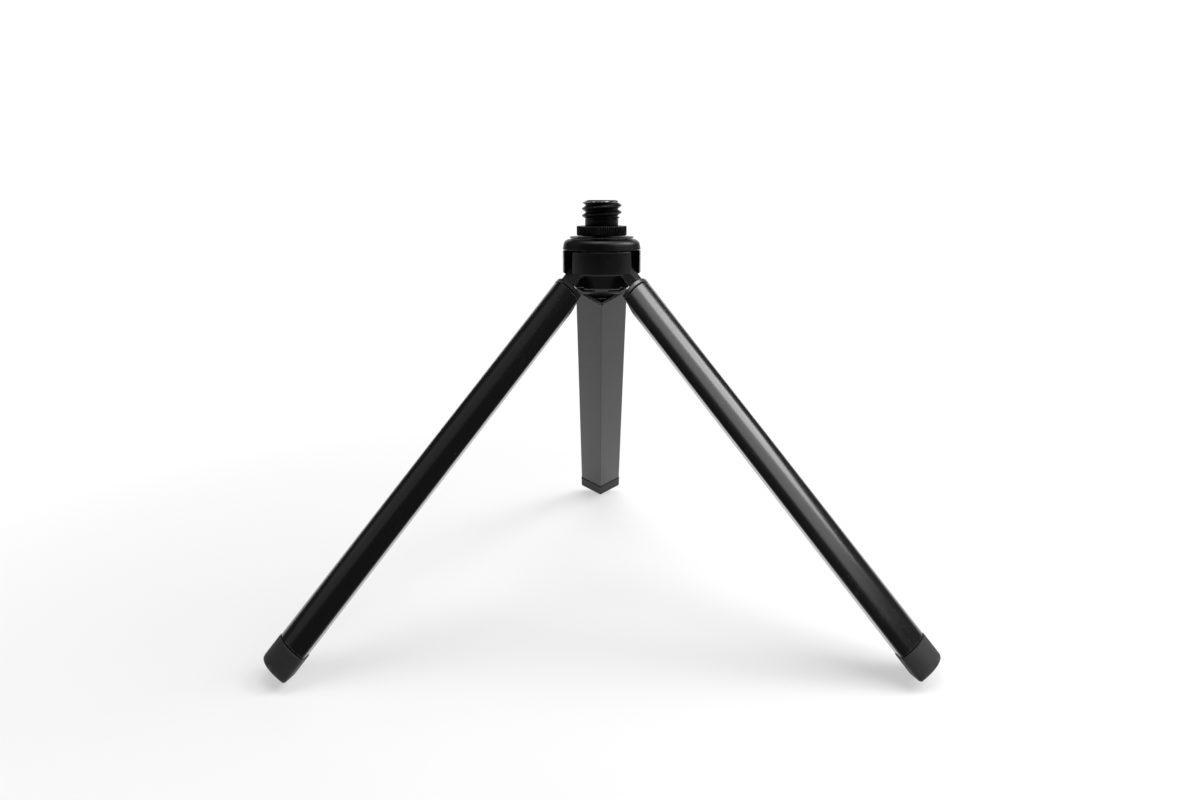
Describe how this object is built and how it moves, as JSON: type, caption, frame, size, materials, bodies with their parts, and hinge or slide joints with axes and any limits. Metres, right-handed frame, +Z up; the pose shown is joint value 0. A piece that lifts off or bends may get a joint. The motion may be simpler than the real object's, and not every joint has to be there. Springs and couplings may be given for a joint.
{
  "type": "mini tabletop tripod",
  "caption": "Folding mini tabletop tripod for a webcam or small camera: sector-section legs hinged under a round head with a threaded stud.",
  "frame": {"origin": "on the table, under the head's axis, with the legs open", "axes": "+Z up along the stud; +Y towards the rear leg, and the other two legs point to the front left and front right"},
  "size_m": [0.1478, 0.13, 0.1012],
  "materials": {
    "head_plastic": "satin moulded black plastic",
    "washer_black": "thin black steel washer with a bright worn rim",
    "stud_black": "black oxide on a cut thread",
    "collar_black": "black knurled metal",
    "plated_steel": "bright zinc-plated steel",
    "clip_plated": "bright nickel-plated spring steel",
    "leg_paint": "semi-gloss black coat on aluminium",
    "insert_plastic": "fine-grained black moulded plastic",
    "foot_rubber": "matte dark grey rubber"
  },
  "bodies": {
    "head": {"hub_body": "head_plastic", "head_cap": "head_plastic", "top_washer": "washer_black", "hinge_pin_rear": "plated_steel", "hinge_pin_left": "plated_steel", "hinge_pin_right": "plated_steel"},
    "stud": {"threaded_stud": "stud_black", "knurled_collar": "collar_black", "stud_nut": "plated_steel"},
    "leg_rear": {"leg_insert_rear": "insert_plastic", "leg_tube_rear": "leg_paint", "leg_clip_rear": "clip_plated", "foot_cap_rear": "foot_rubber"},
    "leg_left": {"leg_insert_left": "insert_plastic", "leg_tube_left": "leg_paint", "leg_clip_left": "clip_plated", "foot_cap_left": "foot_rubber"},
    "leg_right": {"leg_insert_right": "insert_plastic", "leg_tube_right": "leg_paint", "leg_clip_right": "clip_plated", "foot_cap_right": "foot_rubber"}
  },
  "joints": [
    {"name": "stud_turn", "type": "hinge", "parent": "head", "child": "stud", "pos_m": [0, 0, 0.09524], "axis": [0, 0, 1], "continuous": true},
    {"name": "leg_rear_fold", "type": "hinge", "parent": "head", "child": "leg_rear", "pos_m": [0, 0.0052, 0.08554], "axis": [-1, 0, 0], "range_deg": [0, 43]},
    {"name": "leg_left_fold", "type": "hinge", "parent": "head", "child": "leg_left", "pos_m": [-0.0045, -0.0026, 0.08554], "axis": [0.5, -0.866, 0], "range_deg": [0, 43]},
    {"name": "leg_right_fold", "type": "hinge", "parent": "head", "child": "leg_right", "pos_m": [0.0045, -0.0026, 0.08554], "axis": [0.5, 0.866, 0], "range_deg": [0, 43]}
  ]
}
